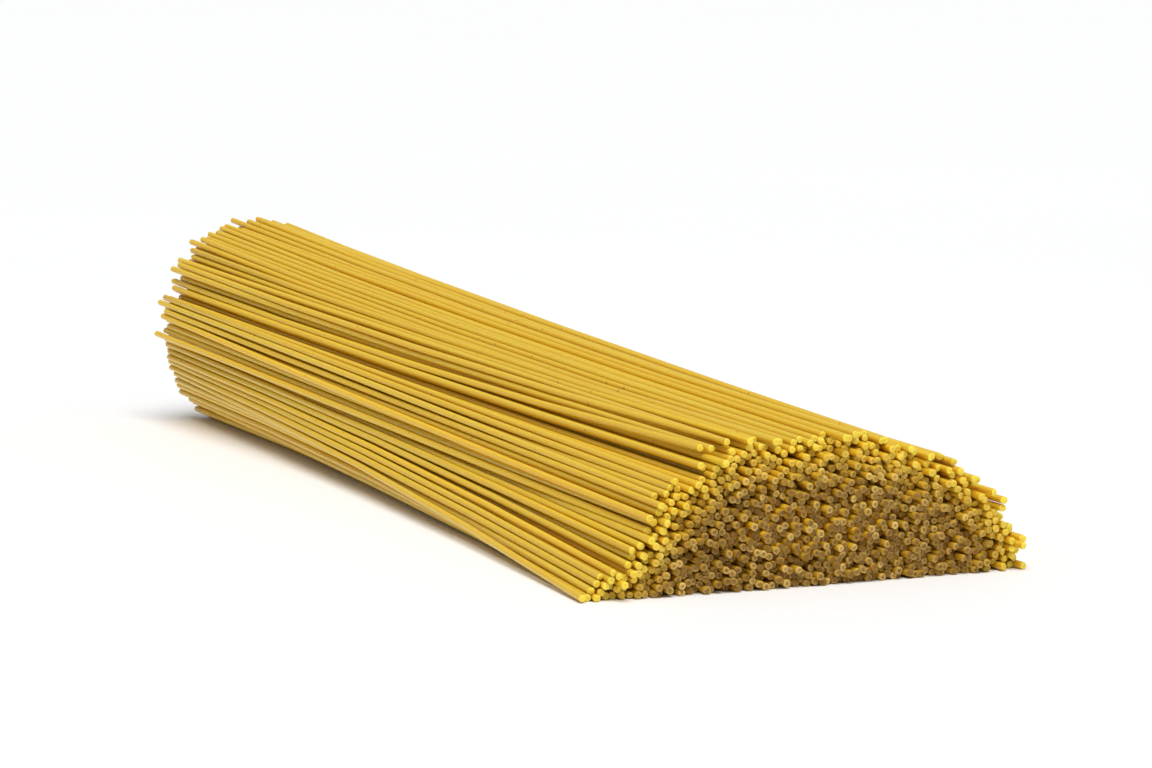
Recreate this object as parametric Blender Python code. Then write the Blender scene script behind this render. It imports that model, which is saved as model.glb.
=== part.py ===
"""A bundle of dry spaghetti lying on a flat surface.

The strands are tight and round at one end (-X) and have slumped into a low, flat-bottomed heap at
the other (+X). The bundle is one closed solid out to its uneven outline: a ridge for each strand
that shows, ragged ends, and a flat underside between the strands that lie on the surface.
"""

import math
import random

import bmesh
import bpy
from mathutils import Vector
from mathutils.geometry import delaunay_2d_cdt

# Driving dimensions, in metres
STRAND_LENGTH = 0.260
STRAND_DIAMETER = 0.00125
GROOVE_DEPTH = 0.00035  # between two neighbouring strands
RAGGED = 0.0014  # how far a strand may stand in or out at an end
TOP_SAG = 0.0006  # how far the top strands hang at mid-length
LEFT_FLARE = 0.0030  # how far the outermost left strands bow inwards at mid-length, to flare at the heap

# The tight end: a circle that its own weight has flattened where it rests
ROUND_RADIUS = 0.0226
ROUND_AXIS_SIDE = 0.0021
ROUND_AXIS_HEIGHT = 0.0209

# The slumped end: half-width, side offset and height, then the outline as shares of them
HEAP_HALF_WIDTH = 0.0402
HEAP_MIDDLE_SIDE = -0.0013
HEAP_HEIGHT = 0.0241
HEAP_OUTLINE = (
    (-1.00, 0.00),  # toe of the loose left flank, one strand thick
    (-0.99, 0.053),
    (-0.825, 0.208),
    (-0.70, 0.448),
    (-0.635, 0.64),
    (-0.49, 0.81),
    (-0.34, 0.975),
    (-0.045, 0.965),
    (0.25, 1.00),
    (0.56, 0.855),
    (0.82, 0.62),
    (0.98, 0.288),
    (1.00, 0.00),  # foot of the steep right side
)
HEAP_TUCK = 0.0145  # floor length inside each foot taken by strands that hang clear at the tight end

# Which share of the way round the tight end meets which point round the slumped end:
# the two feet, and the left flank, which has opened out to about twice its width
FOOT_SHARE = 0.12
OPENED_SHARE = 0.343
OPENED_TO = 0.0525  # along the slumped outline from the left foot

RIDGES = 98
POINTS_PER_RIDGE = 3
FLOOR_POINTS = 7
STATIONS = 9
CAP_PITCH = 2.5 * STRAND_DIAMETER
CURVE_STEPS = 12
SEED = 7


def catmull_rom(points, steps):
    """A smooth curve through the points, as a dense list."""
    padded = [2 * points[0] - points[1], *points, 2 * points[-1] - points[-2]]
    curve = []
    for a, b, c, d in zip(padded, padded[1:], padded[2:], padded[3:]):
        for step in range(steps):
            t = step / steps
            rise = (c - a) * t + (2 * a - 5 * b + 4 * c - d) * t * t + (3 * b - a - 3 * c + d) * t**3
            curve.append(b + 0.5 * rise)
    return [*curve, points[-1]]


class Path:
    """An open polyline in a cross-section (side, height) that is read by the distance along it."""

    def __init__(self, points):
        self.points = points
        self.reach = [0.0]
        for a, b in zip(points, points[1:]):
            self.reach.append(self.reach[-1] + (b - a).length)
        self.length = self.reach[-1]

    def at(self, distance):
        distance = min(max(distance, 0.0), self.length)
        for i in range(len(self.points) - 1):
            if distance <= self.reach[i + 1]:
                span = self.reach[i + 1] - self.reach[i]
                return self.points[i].lerp(self.points[i + 1], (distance - self.reach[i]) / span)
        return self.points[-1]

    def outward(self, distance):
        """The unit normal on the left of the path, which runs over the bundle from left to right."""
        along = self.at(distance + STRAND_DIAMETER) - self.at(distance - STRAND_DIAMETER)
        return Vector((-along.y, along.x)).normalized()


def round_end():
    """From the left edge of the flattened underside, over the top, to its right edge."""
    dip = math.asin(ROUND_AXIS_HEIGHT / ROUND_RADIUS)
    steps = 8 * CURVE_STEPS
    points = []
    for i in range(steps + 1):
        angle = math.pi + dip - (math.pi + 2 * dip) * i / steps
        side = ROUND_AXIS_SIDE + ROUND_RADIUS * math.cos(angle)
        points.append(Vector((side, max(0.0, ROUND_AXIS_HEIGHT + ROUND_RADIUS * math.sin(angle)))))
    return Path(points)


def slumped_end():
    """From inside the left foot, out along the floor, over the heap, and in again past the right foot."""
    outline = [
        Vector((HEAP_MIDDLE_SIDE + HEAP_HALF_WIDTH * side, HEAP_HEIGHT * height))
        for side, height in HEAP_OUTLINE
    ]
    curve = catmull_rom(outline, CURVE_STEPS)
    tuck = Vector((HEAP_TUCK, 0.0))
    return Path([curve[0] + tuck, *curve, curve[-1] - tuck])


def interpolate(knots, value):
    for (x0, y0), (x1, y1) in zip(knots, knots[1:]):
        if value <= x1:
            return y0 + (y1 - y0) * (value - x0) / (x1 - x0)
    return knots[-1][1]


def outline_pairs(tight, heap):
    """(tight point, heap point, strand number) for each point round the bundle, and the strands' grooves."""
    knots = (
        (0.0, 0.0),
        (FOOT_SHARE, HEAP_TUCK),
        (OPENED_SHARE, HEAP_TUCK + OPENED_TO),
        (1 - FOOT_SHARE, heap.length - HEAP_TUCK),
        (1.0, heap.length),
    )
    # The ridges are spaced evenly along the mean of the two outlines.
    fine = [i / 400 for i in range(401)]
    mean = [0.5 * (share * tight.length + interpolate(knots, share)) for share in fine]
    pairs = []
    for i in range(RIDGES * POINTS_PER_RIDGE + 1):
        target = mean[-1] * i / (RIDGES * POINTS_PER_RIDGE)
        share = interpolate(list(zip(mean, fine)), target)
        groove = i % POINTS_PER_RIDGE == 0 and 0 < i < RIDGES * POINTS_PER_RIDGE
        depth = GROOVE_DEPTH if groove else 0.0
        along_tight = share * tight.length
        along_heap = interpolate(knots, share)
        a = tight.at(along_tight) - depth * tight.outward(along_tight)
        b = heap.at(along_heap) - depth * heap.outward(along_heap)
        a.y = max(a.y, 0.0)
        b.y = max(b.y, 0.0)
        pairs.append((a, b, i // POINTS_PER_RIDGE, groove))
    return pairs


def floor_pairs(first, last):
    """Points between the two edges of the flat underside, from right to left."""
    made = []
    for i in range(1, FLOOR_POINTS + 1):
        share = i / (FLOOR_POINTS + 1)
        made.append((last[0].lerp(first[0], share), last[1].lerp(first[1], share), RIDGES + i, False))
    return made


def strand_span(a, b, slide):
    """Where a strand of the full length begins and ends along X, when it has slid by the given amount."""
    reach = math.sqrt(STRAND_LENGTH**2 - (b - a).length_squared)
    return -STRAND_LENGTH / 2 + slide, reach - STRAND_LENGTH / 2 + slide


def section_point(a, b, start, end, share):
    """A point on the line from the tight end to the heap, with the top's sag and the left flank's flare."""
    flat = a.lerp(b, share)
    bow = 4 * share * (1 - share)
    sag = TOP_SAG * bow * flat.y / HEAP_HEIGHT
    flare = LEFT_FLARE * bow * min(max(-b.x / HEAP_HALF_WIDTH, 0.0), 1.0)
    return Vector((start + (end - start) * share, flat.x + flare, max(0.0, flat.y - sag)))


def cap(mesh, ring, inward, slide):
    """Closes one end with an uneven face, whose inner points stand in and out as the strands do."""
    flat = [Vector((vert.co.y, vert.co.z)) for vert in ring]
    edges = [(i, (i + 1) % len(ring)) for i in range(len(ring))]
    low = Vector((min(p.x for p in flat), min(p.y for p in flat)))
    high = Vector((max(p.x for p in flat), max(p.y for p in flat)))
    inner = []
    row = 0
    height = low.y + CAP_PITCH / 2
    while height < high.y:
        side = low.x + CAP_PITCH * (0.5 if row % 2 else 1.0)
        while side < high.x:
            point = Vector((side, height))
            if min((point - p).length for p in flat) > CAP_PITCH / 2 and inside(point, flat):
                inner.append(point)
            side += CAP_PITCH
        height += CAP_PITCH * math.sqrt(0.75)
        row += 1
    points, _, faces, origins, _, _ = delaunay_2d_cdt(flat + inner, edges, [], 1, 1e-7)
    middle = sum(vert.co.x for vert in ring) / len(ring)
    verts = []
    for point, origin in zip(points, origins):
        if origin and origin[0] < len(ring):
            verts.append(ring[origin[0]])
        else:
            verts.append(mesh.verts.new((middle + slide(), point.x, point.y)))
    for face in faces:
        corners = [verts[i] for i in face]
        mesh.faces.new(corners if inward else corners[::-1])


def inside(point, outline):
    """Whether the point is within the closed outline, by counting crossings."""
    odd = False
    for a, b in zip(outline, outline[1:] + outline[:1]):
        if (a.y > point.y) != (b.y > point.y):
            if point.x < a.x + (b.x - a.x) * (point.y - a.y) / (b.y - a.y):
                odd = not odd
    return odd


def bundle_mesh():
    dice = random.Random(SEED)
    tight, heap = round_end(), slumped_end()
    pairs = outline_pairs(tight, heap)
    pairs += floor_pairs(pairs[0], pairs[-1])
    slides = [dice.uniform(-RAGGED, RAGGED) for _ in range(RIDGES + FLOOR_POINTS + 1)]

    mesh = bmesh.new()
    rings = [[] for _ in range(STATIONS)]
    for a, b, strand, groove in pairs:
        start, end = strand_span(a, b, slides[strand])
        if groove:
            other_start, other_end = strand_span(a, b, slides[strand - 1])
            start, end = max(start, other_start), min(end, other_end)
        for k, ring in enumerate(rings):
            ring.append(mesh.verts.new(section_point(a, b, start, end, k / (STATIONS - 1))))
    for near, far in zip(rings, rings[1:]):
        for i in range(len(near)):
            j = (i + 1) % len(near)
            mesh.faces.new((near[i], near[j], far[j], far[i]))
    for ring, inward in ((rings[0], False), (rings[-1], True)):
        cap(mesh, ring, inward, lambda: dice.uniform(-RAGGED, RAGGED))
    bmesh.ops.recalc_face_normals(mesh, faces=mesh.faces)

    # The origin is below the middle of the bundle's box, on the surface that it lies on.
    low = Vector(min(vert.co[i] for vert in mesh.verts) for i in range(3))
    high = Vector(max(vert.co[i] for vert in mesh.verts) for i in range(3))
    middle = (low + high) / 2
    bmesh.ops.translate(mesh, verts=mesh.verts, vec=(-middle.x, -middle.y, -low.z))
    return mesh


def pasta_material():
    material = bpy.data.materials.new("dry_pasta")
    material.use_nodes = True
    shader = material.node_tree.nodes["Principled BSDF"]
    shader.inputs["Base Color"].default_value = (0.68, 0.43, 0.06, 1.0)
    shader.inputs["Roughness"].default_value = 0.45
    shader.inputs["Metallic"].default_value = 0.0
    return material


def main():
    for obj in list(bpy.data.objects):
        bpy.data.objects.remove(obj)
    mesh = bundle_mesh()
    data = bpy.data.meshes.new("spaghetti_bundle")
    mesh.to_mesh(data)
    mesh.free()
    data.materials.append(pasta_material())
    bundle = bpy.data.objects.new("spaghetti_bundle", data)
    bpy.context.scene.collection.objects.link(bundle)


main()
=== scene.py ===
"""The looks of a bundle of dry spaghetti: separate strands, settled side by side over a core."""

import math

import bmesh
import bpy
import numpy as np
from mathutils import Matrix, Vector


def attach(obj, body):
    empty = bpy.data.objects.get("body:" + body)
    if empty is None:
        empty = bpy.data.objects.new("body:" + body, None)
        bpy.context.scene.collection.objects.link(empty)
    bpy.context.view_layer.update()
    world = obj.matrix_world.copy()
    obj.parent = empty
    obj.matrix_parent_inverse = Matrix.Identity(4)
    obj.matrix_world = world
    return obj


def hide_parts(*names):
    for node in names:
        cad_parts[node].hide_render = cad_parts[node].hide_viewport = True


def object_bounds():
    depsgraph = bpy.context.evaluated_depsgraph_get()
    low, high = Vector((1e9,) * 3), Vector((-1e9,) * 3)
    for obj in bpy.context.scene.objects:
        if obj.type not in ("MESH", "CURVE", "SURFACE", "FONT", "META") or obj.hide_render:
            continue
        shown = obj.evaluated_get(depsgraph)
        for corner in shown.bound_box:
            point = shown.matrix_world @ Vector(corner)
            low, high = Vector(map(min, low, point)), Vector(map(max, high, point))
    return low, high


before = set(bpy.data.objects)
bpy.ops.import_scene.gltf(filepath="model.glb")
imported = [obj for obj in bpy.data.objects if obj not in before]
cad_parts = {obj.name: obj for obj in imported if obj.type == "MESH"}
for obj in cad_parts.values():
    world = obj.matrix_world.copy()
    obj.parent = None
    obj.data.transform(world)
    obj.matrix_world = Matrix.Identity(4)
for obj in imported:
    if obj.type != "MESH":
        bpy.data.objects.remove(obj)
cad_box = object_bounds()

MM = 0.001

# The strand
STRAND_LENGTH = 260.0 * MM
STRAND_DIAMETER = 1.25 * MM
STRAND_RADIUS = STRAND_DIAMETER / 2
STRAND_COUNT = 970
STRAND_SIDES = 10
STRAND_SPANS = 4
DIAMETER_SPREAD = 0.025

# The tight end, a circle flattened where it rests
ROUND_RADIUS = 22.6 * MM
ROUND_AXIS = np.array((2.1, 20.9)) * MM

# The slumped end, as shares of its half-width and height
HEAP_HALF_WIDTH = 40.2 * MM
HEAP_MIDDLE_SIDE = -1.3 * MM
HEAP_HEIGHT = 24.1 * MM
HEAP_OUTLINE = (
    (-1.00, 0.00),
    (-0.99, 0.053),
    (-0.825, 0.208),
    (-0.70, 0.448),
    (-0.635, 0.64),
    (-0.49, 0.81),
    (-0.34, 0.975),
    (-0.045, 0.965),
    (0.25, 1.00),
    (0.56, 0.855),
    (0.82, 0.62),
    (0.98, 0.288),
    (1.00, 0.00),
)
HEAP_TUCK = 14.5 * MM
FOOT_SHARE = 0.12
OPENED_SHARE = 0.343
OPENED_TO = 52.5 * MM

LEFT_FLARE = 3.0 * MM
LATTICE_LEAN = 0.31
STATIONS = 13
STIFFNESS = (0.0, 0.0, 3.0, 30.0)
SEED = 5
RAGGED = 1.3 * MM
OWN_BOW = 0.25 * MM
STRAY = (0.3 * STRAND_DIAMETER, 0.9 * STRAND_DIAMETER)
TOP_SAG = 1.2 * MM
OUTER_SNAP = 0.3 * STRAND_DIAMETER

# Settling: rounds of pushing apart, how strongly, and how far the strands sink in each round
PUSH_RATE = 0.8
LATTICE_ROUNDS = 300
SPREAD_ROUNDS = 300
SINK_ROUNDS = 200
SINK = 0.001 * MM
BUNDLE_ROUNDS = 400
BUNDLE_SINK = 0.0015 * MM
LOOSE_ROUNDS = 150

# The loose outside: distances round the heap from its left foot, and shares of the strands there
OUTSIDE_DEPTH = 0.95 * STRAND_DIAMETER
FLANK_SPAN = (8 * MM, 40 * MM)
FLANK_GONE = 0.16
FLANK_LOOSE = 0.5
DRIFT_OUT = (0.3 * MM, 1.1 * MM)
DRIFT_ALONG = 1.1 * MM
RIGHT_SPAN = (72 * MM, 98 * MM)
RIGHT_LIFTED = 0.22
RIGHT_LIFT = 1.3 * MM
LEDGE_STEPS = (0.0, 3.0 * MM, 7.0 * MM)
LEDGE_CHANCES = (0.65, 0.25, 0.1)
SLID_SHARE = 0.2
SLIDE = 2.6 * MM
FANNED_SLIDE = 1.5 * MM
SLIDE_LIMIT = 4.5 * MM
# painted light: how deep below the heap's outline a cut end still gets the painted glow
LIT_DEPTH = 4.5 * MM
RIM_SPAN = (16 * MM, 76 * MM)
RIM_DEPTH = 3.0 * STRAND_DIAMETER
RIM_STEP = 3.5 * MM
RIM_FADES = (6 * MM, 10 * MM)
RIM_LOWEST = 4 * MM

# The cut ends: slant in degrees, nick and dish
RIM_WIDTH = 0.2 * MM
RIM_RISE = 0.14 * MM
DISH_WIDTH = 0.22 * MM
CUT_REGION = 0.499 * STRAND_LENGTH
CUTS = (
    (0.0, 0.0 * MM, 0.05 * MM),
    (9.0, 0.0 * MM, 0.08 * MM),
    (-14.0, 0.0 * MM, 0.03 * MM),
    (4.0, 0.32 * MM, 0.06 * MM),
    (18.0, 0.12 * MM, 0.05 * MM),
    (-3.0, 0.0 * MM, 0.12 * MM),
)

# Where a strand lies on its map: a strip between two discs
STRIP_START = 0.024
STRIP_EDGE = 0.06
DISC_PLACE = 0.012
DISC_HALF = 0.007

# The core, from its round end to its flat one
CORE_MIDDLES = np.array(((2.1, 20.9), (-0.5, 10.5))) * MM
CORE_HALVES = np.array(((9.5, 9.5), (17.0, 6.0))) * MM
CORE_LENGTH = 216.0 * MM
CORE_SPANS = 6
CORE_MARGIN = 1.3 * STRAND_RADIUS
STUB_LENGTH = 30.0 * MM

LAYER_NAMES = (
    "underside_strands",
    "left_flank_strands",
    "top_strands",
    "right_side_strands",
    "inner_left_strands",
    "inner_mid_left_strands",
    "inner_mid_right_strands",
    "inner_right_strands",
)

# Colours of the pasta
BRIGHT_STRAW = (0.71, 0.50, 0.045, 1)
DEEP_STRAW = (0.67, 0.435, 0.024, 1)
WARM_AMBER = (0.86, 0.51, 0.014, 1)
BRAN_BROWN = (0.22, 0.10, 0.02, 1)
# painted shade on strand sides near the cut face, deep in the heap
SHADED_SIDE_KHAKI = (0.43, 0.245, 0.024, 1)
# partly the real whitish cut, partly painted highlights
CUT_PALE = (0.68, 0.46, 0.14, 1)
# painted shade of the cut faces
CUT_SHADE = (0.25, 0.132, 0.016, 1)
# painted light: the darker middle of a cut face, which leaves its rim bright
CUT_MIDDLE = (0.26, 0.14, 0.022, 1)
# painted light: the glow of cut ends near the heap's surface
CUT_LIT = (0.97, 0.675, 0.075, 1)
DEEP_AMBER = (0.16, 0.075, 0.012, 1)
DIM_AMBER = (0.34, 0.19, 0.03, 1)

# The studio
KEY_STRENGTH = 2.65
KEY_WIDTH = 45.0
KEY_FROM = (0.36, -0.14, 1.0)
ROOM_STRENGTH = 0.36
ROOM_TINT = (0.97, 0.985, 1.0, 1.0)
FLOOR_SIZE = 16.0
FLOOR_WHITES = ((0.95, 0.95, 0.95, 1), (0.97, 0.97, 0.97, 1))
CAMERA_LENS = 125.0
CAMERA_PLACE = (0.699, -0.3136, 0.1063)
CAMERA_PITCH = 83.586
CAMERA_HEADING = 64.51


# ---------------------------------------------------------------- cross-sections


def smooth_curve(points, steps=12):
    """A Catmull-Rom curve through the points, as a dense array."""
    points = np.asarray(points, float)
    padded = np.vstack([2 * points[0] - points[1], points, 2 * points[-1] - points[-2]])
    t = (np.arange(steps) / steps)[:, None]
    runs = []
    for a, b, c, d in zip(padded, padded[1:], padded[2:], padded[3:]):
        rise = (3 * b - a - 3 * c + d) * t**3
        runs.append(0.5 * (2 * b + (c - a) * t + (2 * a - 5 * b + 4 * c - d) * t**2 + rise))
    return np.vstack([*runs, points[-1:]])


def distance_along(path):
    return np.concatenate([[0.0], np.cumsum(np.linalg.norm(np.diff(path, axis=0), axis=1))])


def read_path(path, distance):
    reach = distance_along(path)
    return np.stack([np.interp(distance, reach, path[:, i]) for i in range(2)], axis=-1)


heap_curve = smooth_curve(
    [(HEAP_MIDDLE_SIDE + HEAP_HALF_WIDTH * side, HEAP_HEIGHT * height) for side, height in HEAP_OUTLINE]
)
heap_curve[:, 1] = np.maximum(heap_curve[:, 1], 0.0)
tuck = np.array((HEAP_TUCK, 0.0))
heap_path = np.vstack([heap_curve[:1] + tuck, heap_curve, heap_curve[-1:] - tuck])
heap_length = distance_along(heap_path)[-1]
round_dip = math.asin(ROUND_AXIS[1] / ROUND_RADIUS)
round_turn = math.pi + 2 * round_dip


def heap_point(share):
    """The point of the slumped outline that meets this share of the way round the tight end."""
    shares = (0.0, FOOT_SHARE, OPENED_SHARE, 1 - FOOT_SHARE, 1.0)
    reaches = (0.0, HEAP_TUCK, HEAP_TUCK + OPENED_TO, heap_length - HEAP_TUCK, heap_length)
    return read_path(heap_path, np.interp(share, shares, reaches))


def keep_in_round(points):
    """Moves strand centres inside the tight end's circle and off the floor."""
    arm = points - ROUND_AXIS
    reach = np.linalg.norm(arm, axis=1)
    room = ROUND_RADIUS - STRAND_RADIUS
    arm *= np.where(reach > room - OUTER_SNAP, room / np.maximum(reach, 1e-9), 1.0)[:, None]
    kept = arm + ROUND_AXIS
    kept[:, 1] = np.maximum(kept[:, 1], STRAND_RADIUS)
    return kept


def heap_top(side):
    return np.interp(side, heap_curve[:, 0], heap_curve[:, 1], left=0.0, right=0.0)


def keep_in_heap(points):
    """Moves strand centres inside the slumped outline and off the floor."""
    starts, ends = heap_curve[:-1], heap_curve[1:]
    along = ends - starts
    inward = np.stack([along[:, 1], -along[:, 0]], axis=1)
    inward /= np.linalg.norm(inward, axis=1)[:, None]
    kept = points.copy()
    tops = heap_top(kept[:, 0])
    near = np.nonzero(kept[:, 1] > tops - 3 * STRAND_DIAMETER)[0]
    part = kept[near]
    share = ((part[:, None] - starts) * along).sum(2) / np.maximum((along**2).sum(1), 1e-12)
    foot = starts + np.clip(share, 0, 1)[..., None] * along
    gap = np.linalg.norm(part[:, None] - foot, axis=2)
    nearest = gap.argmin(1)
    rows = np.arange(len(near))
    depth = np.where(part[:, 1] <= tops[near], gap[rows, nearest], -gap[rows, nearest])
    short = np.where(depth < STRAND_RADIUS + OUTER_SNAP, STRAND_RADIUS - depth, 0.0)
    kept[near] += inward[nearest] * short[:, None]
    kept[:, 1] = np.maximum(kept[:, 1], STRAND_RADIUS)
    return kept


# ---------------------------------------------------------------- settling the strands


def close_pairs(paths, reach):
    """Every pair of strands whose centres are within reach of each other, station by station."""
    found = []
    for k in range(paths.shape[1]):
        points = paths[:, k].astype(np.float32)
        square = (points**2).sum(1)
        apart = square[:, None] + square - 2 * points @ points.T
        i, j = np.nonzero(np.triu(apart < reach * reach, 1))
        found.append(np.stack([np.full(len(i), k), i, j]))
    return np.concatenate(found, axis=1)


def push_apart(paths, pairs, distance, rate):
    """Moves the strands of each overlapping pair away from each other."""
    count, stations = paths.shape[:2]
    k, i, j = pairs
    apart = paths[j, k] - paths[i, k]
    gap = np.maximum(np.linalg.norm(apart, axis=1), 1e-9)
    over = distance - gap
    hit = over > 0
    push = apart[hit] / gap[hit, None] * (over[hit, None] * rate / 2)
    slots = np.concatenate([i[hit] * stations + k[hit], j[hit] * stations + k[hit]])
    for axis in range(2):
        amount = np.concatenate([-push[:, axis], push[:, axis]])
        paths[..., axis] += np.bincount(slots, amount, count * stations).reshape(count, stations)


def tight_centres(dice):
    """A jittered hexagonal lattice that just fills the tight end, then settled."""
    room = ROUND_RADIUS - STRAND_RADIUS
    pitch = math.sqrt(2 / math.sqrt(3) * math.pi * room**2 / STRAND_COUNT)
    rows = np.arange(-40, 41)
    row, place = np.meshgrid(rows, rows)
    lattice = np.stack([(place + 0.5 * (row % 2)).ravel(), row.ravel() * math.sqrt(0.75)], axis=1) * pitch
    cos, sin = math.cos(LATTICE_LEAN), math.sin(LATTICE_LEAN)
    lean = np.array(((cos, -sin), (sin, cos)))
    lattice = lattice[np.argsort(np.linalg.norm(lattice, axis=1), kind="stable")][:STRAND_COUNT] @ lean
    lattice *= room / np.linalg.norm(lattice, axis=1).max()
    centres = lattice + dice.normal(0, 0.09 * STRAND_DIAMETER, (STRAND_COUNT, 2)) + ROUND_AXIS
    return settle(keep_in_round(centres), keep_in_round, LATTICE_ROUNDS, 0.0, STRAND_DIAMETER)


def spread_to_heap(centres):
    """Carries centres from the tight end to the slumped one by a harmonic map between the two outlines."""
    samples = 512
    turn = np.arange(samples) * 2 * math.pi / samples
    share = np.mod(math.pi + round_dip - turn, 2 * math.pi) / round_turn
    first, last = heap_point(0.0), heap_point(1.0)
    under = np.clip((share - 1) / (2 * math.pi / round_turn - 1), 0, 1)[:, None]
    floor_line = last + (first - last) * under
    outline = np.where((share <= 1)[:, None], heap_point(np.clip(share, 0, 1)), floor_line)
    waves = np.fft.fft(outline[:, 0] + 1j * outline[:, 1]) / samples
    orders = np.fft.fftfreq(samples, 1 / samples)
    kept = np.abs(orders) < 60
    arm = centres - ROUND_AXIS
    reach = np.minimum(np.linalg.norm(arm, axis=1) / ROUND_RADIUS, 1.0)[:, None]
    angle = np.arctan2(arm[:, 1], arm[:, 0])[:, None]
    placed = (waves[kept] * reach ** np.abs(orders[kept]) * np.exp(1j * orders[kept] * angle)).sum(1)
    return np.stack([placed.real, placed.imag], axis=1)


def even_out(centres):
    """Shifts the centres so that they fill the heap evenly, each keeping its rank across and upwards."""
    across = np.linspace(heap_curve[0, 0], heap_curve[-1, 0], 500)
    filled = np.cumsum(heap_top(across))
    rank = centres[:, 0].argsort(kind="stable").argsort(kind="stable")
    side = np.interp((rank + 0.5) / len(centres), filled / filled[-1], across)
    lift = centres[:, 1] / np.maximum(heap_top(centres[:, 0]), STRAND_RADIUS)
    weight = np.exp(-(((side[:, None] - side) / (1.8 * STRAND_DIAMETER)) ** 2))
    below = (weight * (lift[:, None] > lift)).sum(1) + 0.5 * np.diag(weight)
    return np.stack([side, below / weight.sum(1) * heap_top(side)], axis=1)


def settle(centres, keep_in, rounds, drop, distance):
    """Lets the centres of one cross-section come to rest within its outline."""
    paths = centres[:, None].copy()
    for turn in range(rounds):
        if turn % 10 == 0:
            pairs = close_pairs(paths, 1.4 * distance)
        paths[..., 1] -= drop
        push_apart(paths, pairs, distance, PUSH_RATE)
        paths[:, 0] = keep_in(paths[:, 0])
    return paths[:, 0]


def legendre(turn):
    return np.stack([np.ones_like(turn), turn, 1.5 * turn**2 - 0.5, 2.5 * turn**3 - 1.5 * turn], axis=-1)


def legendre_slope(turn):
    return np.stack([np.zeros_like(turn), np.ones_like(turn), 3 * turn, 7.5 * turn**2 - 1.5], axis=-1)


def relax(paths, bow, rounds, drop, bound):
    """Pushes touching strands apart along their whole length while each keeps its own bow and no other."""
    forms = legendre(np.linspace(-1, 1, STATIONS))
    straighten = forms @ np.linalg.solve(forms.T @ forms + np.diag(STIFFNESS), forms.T)
    for turn in range(rounds):
        if turn % 10 == 0:
            pairs = close_pairs(paths, 1.6 * STRAND_DIAMETER)
        paths[..., 1] -= drop
        push_apart(paths, pairs, STRAND_DIAMETER, PUSH_RATE)
        paths = np.einsum("kl,nlc->nkc", straighten, paths - bow) + bow
        if bound:
            paths[:, 0] = keep_in_round(paths[:, 0])
            paths[:, -1] = keep_in_heap(paths[:, -1])
        paths[..., 1] = np.maximum(paths[..., 1], STRAND_RADIUS)
    return np.einsum("kl,nlc->nkc", straighten, paths - bow) + bow


def outline_fit(ends):
    """How far round the heap each cut end lies, how deep in it, and the outline's direction there."""
    gap = np.linalg.norm(ends[:, None] - heap_curve, axis=2)
    nearest = np.clip(gap.argmin(axis=1), 1, len(heap_curve) - 2)
    along = heap_curve[nearest + 1] - heap_curve[nearest - 1]
    along /= np.linalg.norm(along, axis=1)[:, None]
    return distance_along(heap_curve)[nearest], gap.min(axis=1), along


def within(value, span):
    return (value > span[0]) & (value < span[1])


def loosen_outside(paths, bow, dice):
    """Thins and fans out the left flank's outer strands, and lifts a few strands of the right side."""
    place, depth, along = outline_fit(paths[:, -1])
    count = len(place)
    outside = depth < OUTSIDE_DEPTH
    flank = outside & within(place, FLANK_SPAN)
    chance = dice.random(count)
    gone = flank & (chance < FLANK_GONE)
    loose = flank & ~gone & (chance < FLANK_GONE + FLANK_LOOSE)
    lifted = outside & within(place, RIGHT_SPAN) & (chance < RIGHT_LIFTED)
    outward = np.stack([-along[:, 1], along[:, 0]], axis=1)
    drift = outward * dice.uniform(*DRIFT_OUT, (count, 1))
    drift += along * dice.normal(0, DRIFT_ALONG, (count, 1))
    drift[lifted] = outward[lifted] * RIGHT_LIFT
    drift[~(loose | lifted)] = 0.0
    turn = np.linspace(-1, 1, STATIONS)
    paths += drift[:, None] * ((turn + 1) ** 2 / 4)[:, None]
    bow += drift[:, None] * ((1.5 * turn**2 - 0.5) / 6)[:, None]
    return paths[~gone], bow[~gone]


def settled_paths(dice):
    """Side and height of every strand at evenly spaced stations, each strand almost straight."""
    tight = tight_centres(dice)
    heap = even_out(spread_to_heap(tight))
    leftness = np.clip(-heap[:, :1] / HEAP_HALF_WIDTH, 0, 1)
    stray = STRAY[0] + (STRAY[1] - STRAY[0]) * leftness
    heap = keep_in_heap(heap + dice.normal(0, 1, (STRAND_COUNT, 2)) * stray)
    heap = settle(heap, keep_in_heap, SPREAD_ROUNDS, 0.0, 1.05 * STRAND_DIAMETER)
    heap = settle(heap, keep_in_heap, SINK_ROUNDS, SINK, STRAND_DIAMETER)
    share = np.linspace(0, 1, STATIONS)
    own_bow = dice.normal(0, OWN_BOW, (STRAND_COUNT, 1, 2))
    own_bow[:, 0, 0] += LEFT_FLARE * leftness[:, 0]
    own_bow[:, 0, 1] -= TOP_SAG * heap[:, 1] / HEAP_HEIGHT
    bow = own_bow * (4 * share * (1 - share))[None, :, None]
    paths = tight[:, None] + (heap - tight)[:, None] * share[None, :, None] + bow
    paths = relax(paths, bow, BUNDLE_ROUNDS, BUNDLE_SINK, True)
    paths, bow = loosen_outside(paths, bow, dice)
    return relax(paths, bow, LOOSE_ROUNDS, 0.0, False)


# ---------------------------------------------------------------- the strand, once for each kind of cut


def clear_selection():
    for thing in bpy.context.selected_objects:
        thing.select_set(False)


def pick_faces(piece, wanted):
    """In edit mode, selects the faces that wanted() names and nothing else."""
    bpy.ops.mesh.select_mode(type="FACE")
    bpy.ops.mesh.select_all(action="DESELECT")
    shape = bmesh.from_edit_mesh(piece.data)
    for face in shape.faces:
        face.select_set(wanted(face))
    bmesh.update_edit_mesh(piece.data)


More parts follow.
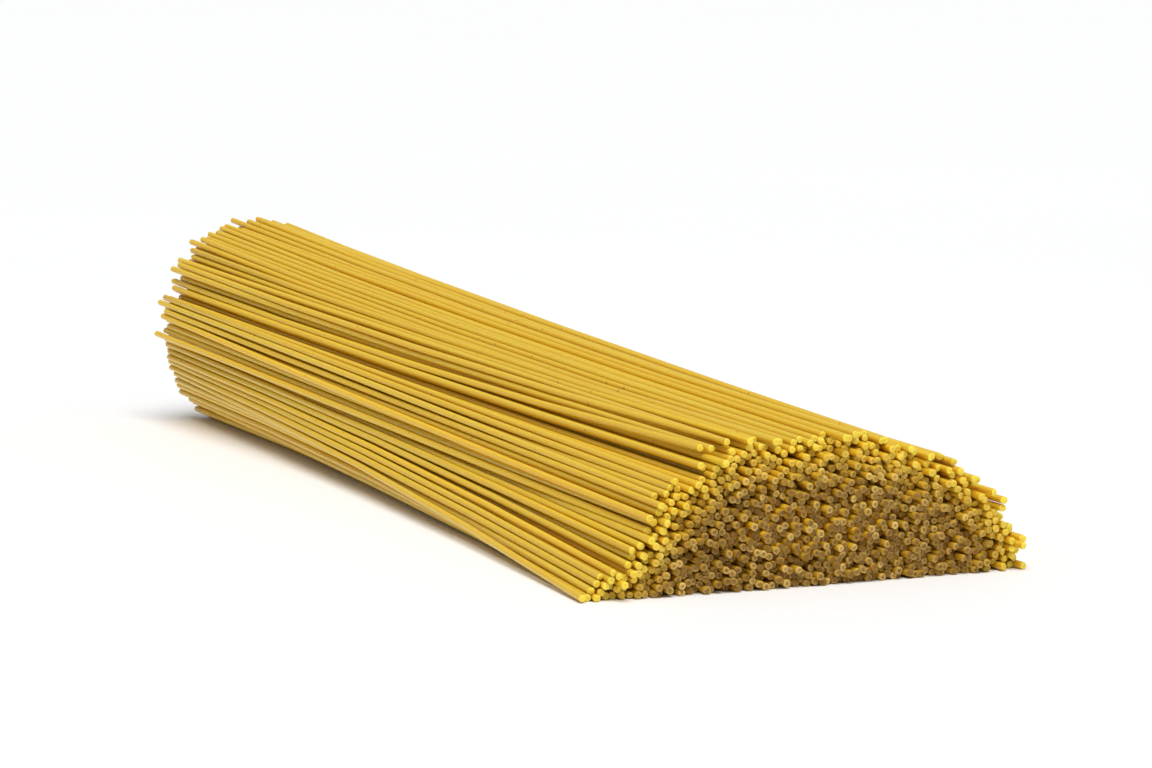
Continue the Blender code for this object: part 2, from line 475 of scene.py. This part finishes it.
def pick_verts(piece, wanted):
    """In edit mode, selects the vertices whose place wanted() accepts and nothing else."""
    bpy.ops.mesh.select_mode(type="VERT")
    bpy.ops.mesh.select_all(action="DESELECT")
    shape = bmesh.from_edit_mesh(piece.data)
    for vert in shape.verts:
        vert.select_set(wanted(vert.co))
    bmesh.update_edit_mesh(piece.data)


def model_strand(slant, nick, dish):
    """A strand along X with both ends cut: a worn rim, a dished face, and a slant or a nick of its own."""
    clear_selection()
    bpy.ops.mesh.primitive_cylinder_add(
        vertices=STRAND_SIDES, radius=STRAND_RADIUS, depth=STRAND_LENGTH, rotation=(0, math.pi / 2, 0)
    )
    strand = bpy.context.object
    bpy.ops.object.transform_apply(location=True, rotation=True, scale=True)
    bpy.ops.object.mode_set(mode="EDIT")
    for cut in range(1, STRAND_SPANS):
        bpy.ops.mesh.select_all(action="SELECT")
        bpy.ops.mesh.bisect(plane_co=(STRAND_LENGTH * (cut / STRAND_SPANS - 0.5), 0, 0), plane_no=(1, 0, 0))
    for end in (-1, 1):
        pick_faces(strand, lambda face: face.normal.x * end > 0.9)
        bpy.ops.mesh.inset(thickness=RIM_WIDTH, depth=RIM_RISE)
        bpy.ops.mesh.inset(thickness=DISH_WIDTH, depth=-dish)
        pick_verts(strand, lambda place: place.x * end > CUT_REGION and place.y > 0.5 * STRAND_RADIUS)
        bpy.ops.transform.translate(value=(-end * nick, 0, 0))
        pick_verts(strand, lambda place: place.x * end > CUT_REGION)
        bpy.ops.transform.rotate(
            value=math.radians(slant), orient_axis="Y", center_override=(end * STRAND_LENGTH / 2, 0, 0)
        )
    bpy.ops.object.mode_set(mode="OBJECT")
    return strand


def read_places(mesh):
    places = np.empty(len(mesh.vertices) * 3)
    mesh.vertices.foreach_get("co", places)
    return places.reshape(-1, 3)


def strand_masters():
    """The places of every master's vertices, and the faces and maps that all of them share."""
    masters = [model_strand(*cut) for cut in CUTS]
    places = np.stack([read_places(master.data) for master in masters])
    mesh = masters[0].data
    faces = [tuple(face.vertices) for face in mesh.polygons]
    strip, cut, middle = [], [], []
    for face in mesh.polygons:
        turn_middle = math.atan2(face.center.z, face.center.y) / (2 * math.pi) % 1
        for index in face.vertices:
            x, y, z = mesh.vertices[index].co
            if abs(face.normal.x) < 0.5:
                turn = math.atan2(z, y) / (2 * math.pi)
                turn += round(turn_middle - turn)
                strip.append((STRIP_START + (x / STRAND_LENGTH + 0.5) * (1 - 2 * STRIP_START), turn))
                cut.append(0.0)
            else:
                disc = 0.5 + math.copysign(0.5 - DISC_PLACE, x)
                strip.append((disc + DISC_HALF * y / STRAND_RADIUS, 0.5 + 0.5 * z / STRAND_RADIUS))
                cut.append(1.0)
            middle.append(1.0 - min(math.hypot(y, z) / STRAND_RADIUS, 1.0))
    for master in masters:
        bpy.data.objects.remove(master)
    return places, faces, np.array(strip), np.array(cut), np.array(middle)


def bend_strands(local, strands):
    """Carries strands modelled along X onto their own paths, rolled, slid and sized each in its own way."""
    reached = np.clip(local[..., 0], -STRAND_LENGTH / 2, STRAND_LENGTH / 2)
    beyond = local[..., 0] - reached
    along = strands["start"][:, None] + (reached / STRAND_LENGTH + 0.5) * strands["length"][:, None] + beyond
    turn = 2 * along / STRAND_LENGTH - 1
    path = np.einsum("nvf,nfc->nvc", legendre(turn), strands["course"])
    slope = np.einsum("nvf,nfc->nvc", legendre_slope(turn), strands["course"])
    half = np.broadcast_to(strands["reach"][:, None] / 2, turn.shape)
    centre = np.stack([half * (turn + 1) - STRAND_LENGTH / 2, path[..., 0], path[..., 1]], axis=-1)
    forward = np.stack([half, slope[..., 0], slope[..., 1]], axis=-1)
    forward /= np.linalg.norm(forward, axis=-1, keepdims=True)
    left = np.stack([-forward[..., 1], forward[..., 0], np.zeros_like(turn)], axis=-1)
    left /= np.linalg.norm(left, axis=-1, keepdims=True)
    up = np.cross(forward, left)
    cos, sin = np.cos(strands["roll"])[:, None], np.sin(strands["roll"])[:, None]
    across = local[..., 1] * strands["size"][:, None, 0]
    lift = local[..., 2] * strands["size"][:, None, 1]
    sideways = (across * cos - lift * sin)[..., None] * left
    upwards = (across * sin + lift * cos)[..., None] * up
    placed = centre + sideways + upwards
    placed[..., 2] += np.maximum(-placed[..., 2].min(axis=1), 0.0)[:, None]
    return placed


def heap_end(strands):
    """Side and height of each strand's cut end in the heap."""
    return strands["course"].sum(axis=1)


def vary_ends(strands, dice):
    """Slides some outer strands, steps the ends back towards the top, and cuts some on the right short."""
    place, depth, _ = outline_fit(heap_end(strands))
    count = len(place)
    outside = depth < OUTSIDE_DEPTH
    slid = outside & (dice.random(count) < SLID_SHARE)
    strands["start"][slid] += dice.normal(0, SLIDE, count)[slid]
    fanned = outside & within(place, FLANK_SPAN)
    strands["start"][fanned] += dice.normal(0, FANNED_SLIDE, count)[fanned]
    strands["start"] = np.clip(strands["start"], -SLIDE_LIMIT, SLIDE_LIMIT)
    steps = np.exp(-((depth / RIM_DEPTH) ** 2)) * dice.uniform(0.55, 1.0, count)
    onset = np.clip((place - RIM_SPAN[0]) / RIM_FADES[0], 0, 1)
    above = onset * np.clip((RIM_SPAN[1] - place) / RIM_FADES[1], 0, 1)
    strands["length"] -= RIM_STEP * steps * above * (heap_end(strands)[:, 1] > RIM_LOWEST)
    ledge = (depth < 2 * STRAND_DIAMETER) & within(place, RIGHT_SPAN)
    strands["length"][ledge] -= dice.choice(LEDGE_STEPS, count, p=LEDGE_CHANCES)[ledge]
    # painted light: the nearer a cut end lies to the heap's surface, the more glow is painted on it, standing
    # in for light coming through the strands from the top
    strands["lit"] = np.exp(-((depth / LIT_DEPTH) ** 2))
    # painted light: strands below the outer layer get a larger amber share, standing in for the amber light
    # that comes through the strands above into the gaps; the rest of the share is random
    deeper, outer = 0.45 + 0.35 * strands["tint_and_gap_light"], 0.15 + 0.25 * strands["tint_and_gap_light"]
    strands["tint_and_gap_light"] = np.where(depth > 0.9 * STRAND_DIAMETER, deeper, outer)


def measure_reach(strands):
    """The length along X that each full strand takes up, given how far it runs sideways and down."""
    away = 2 * (strands["course"][:, 1] + strands["course"][:, 3])
    strands["reach"] = np.sqrt(STRAND_LENGTH**2 - (away**2).sum(axis=1))


def in_core(strands):
    """True for strands that stay deep inside the core all the way."""
    paths = np.einsum("kf,nfc->nkc", legendre(np.linspace(-1, 1, STATIONS)), strands["course"])
    share = np.linspace(0, 1, STATIONS)[:, None]
    middle = CORE_MIDDLES[0] + (CORE_MIDDLES[1] - CORE_MIDDLES[0]) * share
    room = CORE_HALVES[0] + (CORE_HALVES[1] - CORE_HALVES[0]) * share - CORE_MARGIN
    return (((paths - middle) / room) ** 2).sum(axis=2).max(axis=1) < 1


def table_of_strands(dice):
    """Every strand's course, and all that makes it differ from its neighbours."""
    paths = settled_paths(dice)
    forms = legendre(np.linspace(-1, 1, STATIONS))
    course = np.linalg.solve(forms.T @ forms, np.einsum("kf,nkc->fnc", forms, paths).reshape(4, -1))
    course = course.reshape(4, -1, 2).transpose(1, 0, 2)
    count = len(course)
    strands = {
        "course": course,
        "reach": np.zeros(count),
        "start": dice.uniform(-RAGGED, RAGGED, count),
        "length": np.full(count, STRAND_LENGTH),
        "roll": dice.uniform(0, 2 * math.pi, count),
        "size": (
            np.clip(dice.normal(1, DIAMETER_SPREAD, (count, 1)), 0.94, 1.05)
            + dice.normal(0, 0.012, (count, 2))
        ),
        "cut": dice.integers(0, len(CUTS), count),
        "tone": np.clip(dice.normal(0.5, 0.2, count), 0, 1),
        "tint_and_gap_light": np.clip(dice.normal(0.5, 0.2, count), 0, 1),
        "shift": dice.uniform(0, 1, (count, 3)),
    }
    vary_ends(strands, dice)
    measure_reach(strands)
    buried = in_core(strands)
    near = {name: value[buried].copy() for name, value in strands.items()}
    near["length"][:] = STUB_LENGTH
    far = {name: value[buried].copy() for name, value in strands.items()}
    far["length"][:] = STUB_LENGTH
    far["start"] += STRAND_LENGTH - STUB_LENGTH
    return {name: np.concatenate([value[~buried], near[name], far[name]]) for name, value in strands.items()}


def sort_into_layers(strands):
    """The number of the layer that each strand belongs to: four outside, four within."""
    side, height = heap_end(strands).T
    tight = np.einsum("f,nfc->nc", legendre(np.array(-1.0)), strands["course"]) - ROUND_AXIS
    place, depth, _ = outline_fit(heap_end(strands))
    low = height < 2.0 * STRAND_DIAMETER
    skin = np.linalg.norm(tight, axis=1) > ROUND_RADIUS - 1.6 * STRAND_DIAMETER
    outer = (depth < 2.3 * STRAND_DIAMETER) | low | skin
    inner = np.searchsorted(np.quantile(side[~outer], (0.25, 0.5, 0.75)), side)
    third = np.searchsorted(np.quantile(place[outer & ~low], (0.38, 0.7)), place)
    return np.where(outer, np.where(low, 0, 1 + third), 4 + inner)


# ---------------------------------------------------------------- joining the strands into pieces


def write_attribute(mesh, name, kind, domain, values):
    layer = mesh.attributes.new(name, kind, domain)
    field = "vector" if kind == "FLOAT_VECTOR" else "value"
    layer.data.foreach_set(field, np.ascontiguousarray(values, np.float32).ravel())


def join_strands(name, strands, material):
    """Makes one piece of these strands, each a bent copy of its master with a map strip of its own."""
    places, faces, strip, cut, middle = masters
    local = places[strands["cut"]]
    count, size = local.shape[:2]
    placed = bend_strands(local, strands) + lay_shift
    mesh = bpy.data.meshes.new(name)
    joined = [tuple(corner + size * k for corner in face) for k in range(count) for face in faces]
    mesh.from_pydata(placed.reshape(-1, 3).tolist(), [], joined)
    corners = len(strip)
    rows = np.broadcast_to(strip, (count, corners, 2)).copy()
    rows[..., 1] = (np.arange(count)[:, None] + STRIP_EDGE + (1 - 2 * STRIP_EDGE) * rows[..., 1]) / count
    chart = mesh.uv_layers.new(name="OFBake")
    chart.data.foreach_set("uv", rows.ravel())
    grain = local + strands["shift"][:, None] * (3.0, 0.3, 0.3)
    write_attribute(mesh, "grain", "FLOAT_VECTOR", "POINT", grain)
    write_attribute(mesh, "tone", "FLOAT", "POINT", np.repeat(strands["tone"], size))
    write_attribute(mesh, "tint_and_gap_light", "FLOAT", "POINT", np.repeat(strands["tint_and_gap_light"], size))
    write_attribute(mesh, "lit", "FLOAT", "POINT", np.repeat(strands["lit"], size))
    write_attribute(mesh, "nearness", "FLOAT", "POINT", np.abs(local[..., 0]) / (STRAND_LENGTH / 2))
    write_attribute(mesh, "cut", "FLOAT", "CORNER", np.tile(cut, count))
    write_attribute(mesh, "middle", "FLOAT", "CORNER", np.tile(middle, count))
    piece = bpy.data.objects.new(name, mesh)
    bpy.context.scene.collection.objects.link(piece)
    clear_selection()
    piece.select_set(True)
    bpy.context.view_layer.objects.active = piece
    bpy.ops.object.shade_smooth_by_angle(angle=math.radians(41))
    mesh.materials.append(material)
    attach(piece, "root")
    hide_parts("spaghetti_bundle")
    return piece


def model_core(material):
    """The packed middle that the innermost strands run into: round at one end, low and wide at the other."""
    clear_selection()
    bpy.ops.mesh.primitive_cylinder_add(
        vertices=28, radius=1.0, depth=CORE_LENGTH, rotation=(0, math.pi / 2, 0)
    )
    core = bpy.context.object
    core.name = core.data.name = "packed_core"
    bpy.ops.object.transform_apply(location=True, rotation=True, scale=True)
    bpy.ops.object.mode_set(mode="EDIT")
    for cut in range(1, CORE_SPANS):
        bpy.ops.mesh.select_all(action="SELECT")
        bpy.ops.mesh.bisect(plane_co=(CORE_LENGTH * (cut / CORE_SPANS - 0.5), 0, 0), plane_no=(1, 0, 0))
    for ring in range(CORE_SPANS + 1):
        at = CORE_LENGTH * (ring / CORE_SPANS - 0.5)
        share = 0.5 + at / STRAND_LENGTH
        middle = CORE_MIDDLES[0] + (CORE_MIDDLES[1] - CORE_MIDDLES[0]) * share
        half = CORE_HALVES[0] + (CORE_HALVES[1] - CORE_HALVES[0]) * share
        pick_verts(core, lambda place: abs(place.x - at) < 1 * MM)
        bpy.ops.transform.resize(value=(1, half[0], half[1]), center_override=(at, 0, 0))
        bpy.ops.transform.translate(value=(0, middle[0] + lay_shift[1], middle[1]))
    for end in (-1, 1):
        pick_faces(core, lambda face: face.normal.x * end > 0.9)
        bpy.ops.mesh.inset(thickness=1.5 * MM, depth=1.0 * MM)
        bpy.ops.mesh.inset(thickness=2.0 * MM, depth=0.4 * MM)
    bpy.ops.object.mode_set(mode="OBJECT")
    bpy.ops.object.shade_smooth_by_angle(angle=math.radians(50))
    core.data.materials.append(material)
    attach(core, "root")
    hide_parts("spaghetti_bundle")
    return core


# ---------------------------------------------------------------- finishes


class Wire:
    """An output socket that takes part in arithmetic by adding Math nodes."""

    def __init__(self, finish, socket):
        self.finish, self.socket = finish, socket

    def math(self, operation, *values):
        return self.finish.add("Math", {"operation": operation}, dict(enumerate(values)))

    def __add__(self, other):
        return self.math("ADD", self, other)

    def __sub__(self, other):
        return self.math("SUBTRACT", self, other)

    def __rsub__(self, other):
        return self.math("SUBTRACT", other, self)

    def __mul__(self, other):
        return self.math("MULTIPLY", self, other)

    __radd__, __rmul__ = __add__, __mul__


class Finish:
    """A material built from node expressions."""

    def __init__(self, name):
        self.material = bpy.data.materials.new(name)
        self.material.use_nodes = True
        self.nodes, self.links = self.material.node_tree.nodes, self.material.node_tree.links
        self.nodes.clear()

    def add(self, kind, settings, sockets, out=0):
        """Adds a node: its settings first, then the values or wires of its sockets. Returns one output."""
        node = self.nodes.new("ShaderNode" + kind)
        for name, value in settings.items():
            setattr(node, name, value)
        for name, value in sockets.items():
            if isinstance(value, Wire):
                self.links.new(value.socket, node.inputs[name])
            else:
                node.inputs[name].default_value = value
        return Wire(self, node.outputs[out]) if node.outputs else node

    def attribute(self, name, out="Fac"):
        return self.add("Attribute", {"attribute_name": name}, {}, out)

    def stretch(self, vector, scale):
        return self.add("VectorMath", {"operation": "MULTIPLY"}, {0: vector, 1: scale})

    def noise(self, vector, scale, detail=2.0, roughness=0.5):
        sockets = {"Vector": vector, "Scale": scale, "Detail": detail, "Roughness": roughness}
        return self.add("TexNoise", {}, sockets)

    def fade(self, value, low, high):
        """0 below low, 1 above high, smooth between."""
        sockets = {"Value": value, "From Min": low, "From Max": high}
        return self.add("MapRange", {"interpolation_type": "SMOOTHSTEP"}, sockets)

    def mix(self, share, first, second):
        return self.add("Mix", {"data_type": "RGBA"}, {0: share, 6: first, 7: second}, 2)

    def surface(self, sockets):
        shader = self.add("BsdfPrincipled", {}, sockets)
        self.add("OutputMaterial", {}, {"Surface": shader})
        return self.material


def golden_pasta():
    """Dry durum pasta: amber, drawn in fine lines along the strand, paler and rougher where it is cut. Its
    colour also holds painted light and shade: a glow on cut ends near the surface, shade on cut faces and on
    strand sides deeper in, highlights on some ends, and more amber on deeper strands.
    """
    finish = Finish("golden_pasta")
    grain = finish.attribute("grain", "Vector")
    tone, tint_and_gap_light = finish.attribute("tone"), finish.attribute("tint_and_gap_light")
    cut, middle = finish.attribute("cut"), finish.attribute("middle")
    lines = finish.noise(finish.stretch(grain, (30.0, 3200.0, 3200.0)), 1.0, 3.0, 0.6)
    drift = finish.noise(finish.stretch(grain, (22.0, 250.0, 250.0)), 1.0, 2.0)
    crumb = finish.noise(grain, 5200.0, 3.0, 0.6)
    mottle = finish.noise(grain, 700.0, 2.0)
    fleck = finish.fade(finish.noise(grain, 1100.0, 0.0), 0.83, 0.86)
    light = 0.55 * tone + 0.35 * drift + 0.3 * lines + 0.15 * mottle - 0.15
    body = finish.mix(finish.fade(light, 0.2, 0.85), DEEP_STRAW, BRIGHT_STRAW)
    # the amber share is partly a random tint and partly painted light that makes the deeper strands, seen in
    # the gaps, more amber
    body = finish.mix(tint_and_gap_light, body, WARM_AMBER)
    body = finish.mix(0.7 * fleck, body, BRAN_BROWN)
    lit = finish.attribute("lit")
    near_cut = finish.fade(finish.attribute("nearness"), 0.95, 1.0)
    # painted shade: strand sides close to the cut end turn khaki, except on strands near the heap's surface
    body = finish.mix(0.75 * near_cut * (1.0 - lit), body, SHADED_SIDE_KHAKI)
    cloud = finish.noise(grain, 90.0, 1.0)
    # painted shade and painted highlights: cut faces are mostly painted dark for the shaded face, and the
    # paler ends are partly the real whitish cut and partly painted highlights
    chalk_and_glint = finish.fade(0.5 * crumb + 0.6 * tone + 0.3 * cloud - 0.25 * middle, 0.5, 0.95)
    face = finish.mix(chalk_and_glint, CUT_SHADE, CUT_PALE)
    # painted light: the middle of each cut face is painted darker than its rim, standing in for the bright
    # ring that light passing along the strand gives
    face = finish.mix(0.5 * finish.fade(middle, 0.4, 0.9), face, CUT_MIDDLE)
    # painted light: cut ends near the surface are painted glowing yellow
    face = finish.mix(lit, face, CUT_LIT)
    colour = finish.mix(cut, body, face)
    relief = 0.5 * lines + 0.25 * mottle + cut * (1.4 * crumb - 0.4)
    bump = finish.add("Bump", {}, {"Strength": 0.25, "Distance": 0.05 * MM, "Height": relief})
    return finish.surface(
        {
            "Base Color": colour,
            "Roughness": 0.30 + 0.14 * lines + 0.25 * cut,
            "Normal": bump,
            "Specular IOR Level": 0.35,
            "IOR": 1.5,
            "Subsurface Weight": 0.85,
            "Subsurface Radius": (0.9, 0.8, 0.25),
            "Subsurface Scale": 1.3 * MM,
        }
    )


def deep_pasta():
    """The dark amber of strands pressed together where light hardly comes."""
    finish = Finish("deep_pasta")
    place = finish.add("TexCoord", {}, {}, "Object")
    lines = finish.noise(finish.stretch(place, (12.0, 700.0, 700.0)), 1.0, 3.0)
    colour = finish.mix(finish.fade(lines, 0.35, 0.65), DEEP_AMBER, DIM_AMBER)
    bump = finish.add("Bump", {}, {"Strength": 0.6, "Distance": 0.3 * MM, "Height": lines})
    return finish.surface({"Base Color": colour, "Roughness": 0.6 + 0.15 * lines, "Normal": bump})


def table_white():
    finish = Finish("table_white")
    place = finish.add("TexCoord", {}, {}, "Object")
    cloudy = finish.noise(place, 3.0, 2.0)
    colour = finish.mix(cloudy, *FLOOR_WHITES)
    return finish.surface({"Base Color": colour, "Roughness": 0.6})


# ---------------------------------------------------------------- the bundle

dice = np.random.default_rng(SEED)
masters = strand_masters()
cad_middle = np.add(*cad_box) / 2
lay_shift = np.array((cad_middle[0], cad_middle[1] - HEAP_MIDDLE_SIDE, 0.0))
strands = table_of_strands(dice)
layers = sort_into_layers(strands)
pasta = golden_pasta()
for number, name in enumerate(LAYER_NAMES):
    join_strands(name, {key: value[layers == number] for key, value in strands.items()}, pasta)
model_core(deep_pasta())

# ---------------------------------------------------------------- floor, light and camera

clear_selection()
bpy.ops.mesh.primitive_plane_add(size=FLOOR_SIZE)
floor = bpy.context.object
floor.name = "floor"
floor.data.materials.append(table_white())

sun_data = bpy.data.lights.new("overhead_light", "SUN")
sun_data.energy = KEY_STRENGTH
sun_data.angle = math.radians(KEY_WIDTH)
sun = bpy.data.objects.new("overhead_light", sun_data)
sun.rotation_euler = Vector(KEY_FROM).to_track_quat("Z", "Y").to_euler()
bpy.context.scene.collection.objects.link(sun)

room = bpy.data.worlds.new("studio")
room.use_nodes = True
room.node_tree.nodes["Background"].inputs["Color"].default_value = ROOM_TINT
room.node_tree.nodes["Background"].inputs["Strength"].default_value = ROOM_STRENGTH
bpy.context.scene.world = room
bpy.context.scene.view_settings.view_transform = "Standard"

camera_data = bpy.data.cameras.new("camera")
camera_data.lens = CAMERA_LENS
camera_data.sensor_width = 36.0
camera_data.clip_end = 50.0
camera = bpy.data.objects.new("camera", camera_data)
camera.location = CAMERA_PLACE
camera.rotation_euler = (math.radians(CAMERA_PITCH), 0.0, math.radians(CAMERA_HEADING))
bpy.context.scene.collection.objects.link(camera)
bpy.context.scene.camera = camera
